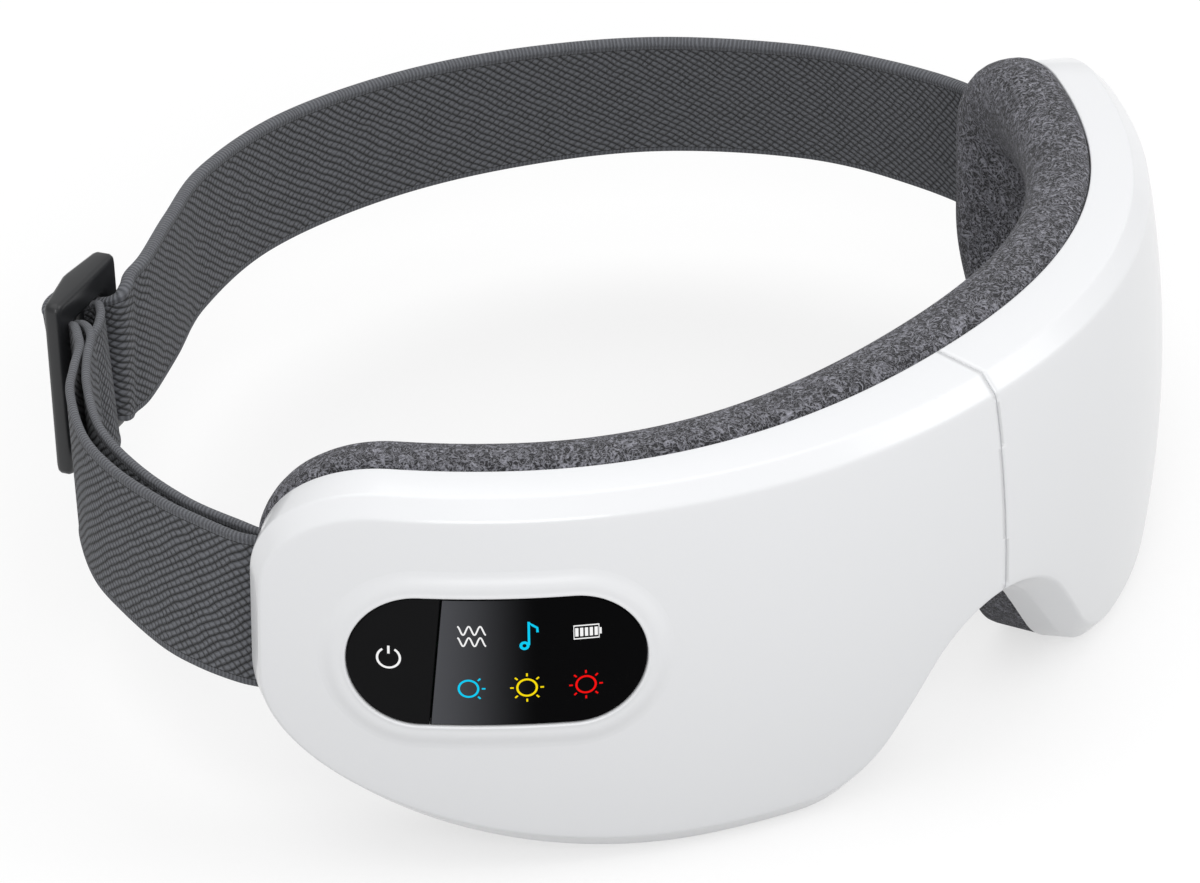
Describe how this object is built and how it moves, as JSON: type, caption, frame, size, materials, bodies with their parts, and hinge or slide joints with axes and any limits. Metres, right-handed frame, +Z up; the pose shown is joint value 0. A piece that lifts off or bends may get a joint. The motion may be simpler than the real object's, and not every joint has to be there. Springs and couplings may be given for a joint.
{
  "type": "heated eye massager",
  "caption": "Foldable heated eye massager: two curved white shells hinged over the nose, padded face side, oval display with power button, and an adjustable elastic head strap.",
  "frame": {"origin": "on the ground plane, under the middle of the bounding box", "axes": "+Z up with the lobes standing on the ground, -Y towards the front that faces away from the wearer, -X towards the half with the display"},
  "size_m": [0.2084, 0.1714, 0.0681],
  "materials": {
    "shell": "glossy white moulding",
    "frame": "matt charcoal moulding",
    "pad": "dark grey melange suede over soft foam",
    "window": "glossy black lens with lit symbols",
    "button": "matt black with a white power symbol",
    "switch": "satin",
    "board": "green solder mask",
    "battery": "matt foil pouch",
    "port": "satin metal",
    "speaker": "matt black",
    "motor": "satin metal can",
    "air_bag": "soft translucent film",
    "heater": "thin film with printed tracks",
    "pump": "satin off-white",
    "tube": "soft clear hose",
    "cable": "thin flat cable",
    "steel": "satin steel",
    "strap": "charcoal elastic with a fine diamond weave",
    "slider": "charcoal satin plastic"
  },
  "bodies": {
    "left_half": {"front_shell_left": "shell", "rear_frame_left": "frame", "face_pad_left": "pad", "speaker_left": "speaker", "vibration_motor_left": "motor", "air_bag_left": "air_bag", "heater_film_left": "heater", "strap_bar_left": "steel", "case_screws_left": "steel", "hinge_leaf_left": "steel", "hinge_screws_left": "steel", "face_pad_bridge": "pad", "display_window": "window", "power_switch": "switch", "display_board": "board", "main_board": "board", "battery": "battery", "charging_port": "port", "nose_cable": "cable", "hinge_pin": "steel", "strap_return": "strap"},
    "right_half": {"front_shell_right": "shell", "rear_frame_right": "frame", "face_pad_right": "pad", "speaker_right": "speaker", "vibration_motor_right": "motor", "air_bag_right": "air_bag", "heater_film_right": "heater", "strap_bar_right": "steel", "case_screws_right": "steel", "hinge_leaf_right": "steel", "hinge_screws_right": "steel", "air_pump": "pump", "pump_motor": "motor", "air_valve": "pump", "air_tube": "tube", "pump_board": "board", "strap_long": "strap"},
    "power_button": {"power_button": "button"},
    "strap_slider": {"strap_slider": "slider", "strap_wrap": "strap"}
  },
  "joints": [
    {"name": "nose_fold", "type": "hinge", "parent": "left_half", "child": "right_half", "pos_m": [0, -0.0738, 0.046], "axis": [0, 0, 1], "range_deg": [0, 90], "deforming": ["nose_cable", "face_pad_bridge", "strap_long"]},
    {"name": "button_press", "type": "slide", "parent": "left_half", "child": "power_button", "axis": [0.8391, 0.544, 0], "range_m": [0, 0.0004], "stiffness_N_per_m": 1500},
    {"name": "slider_slide", "type": "slide", "parent": "left_half", "child": "strap_slider", "axis": [0.8988, 0.4384, 0], "range_m": [-0.012, 0.012], "deforming": ["strap_return", "strap_long"]}
  ]
}
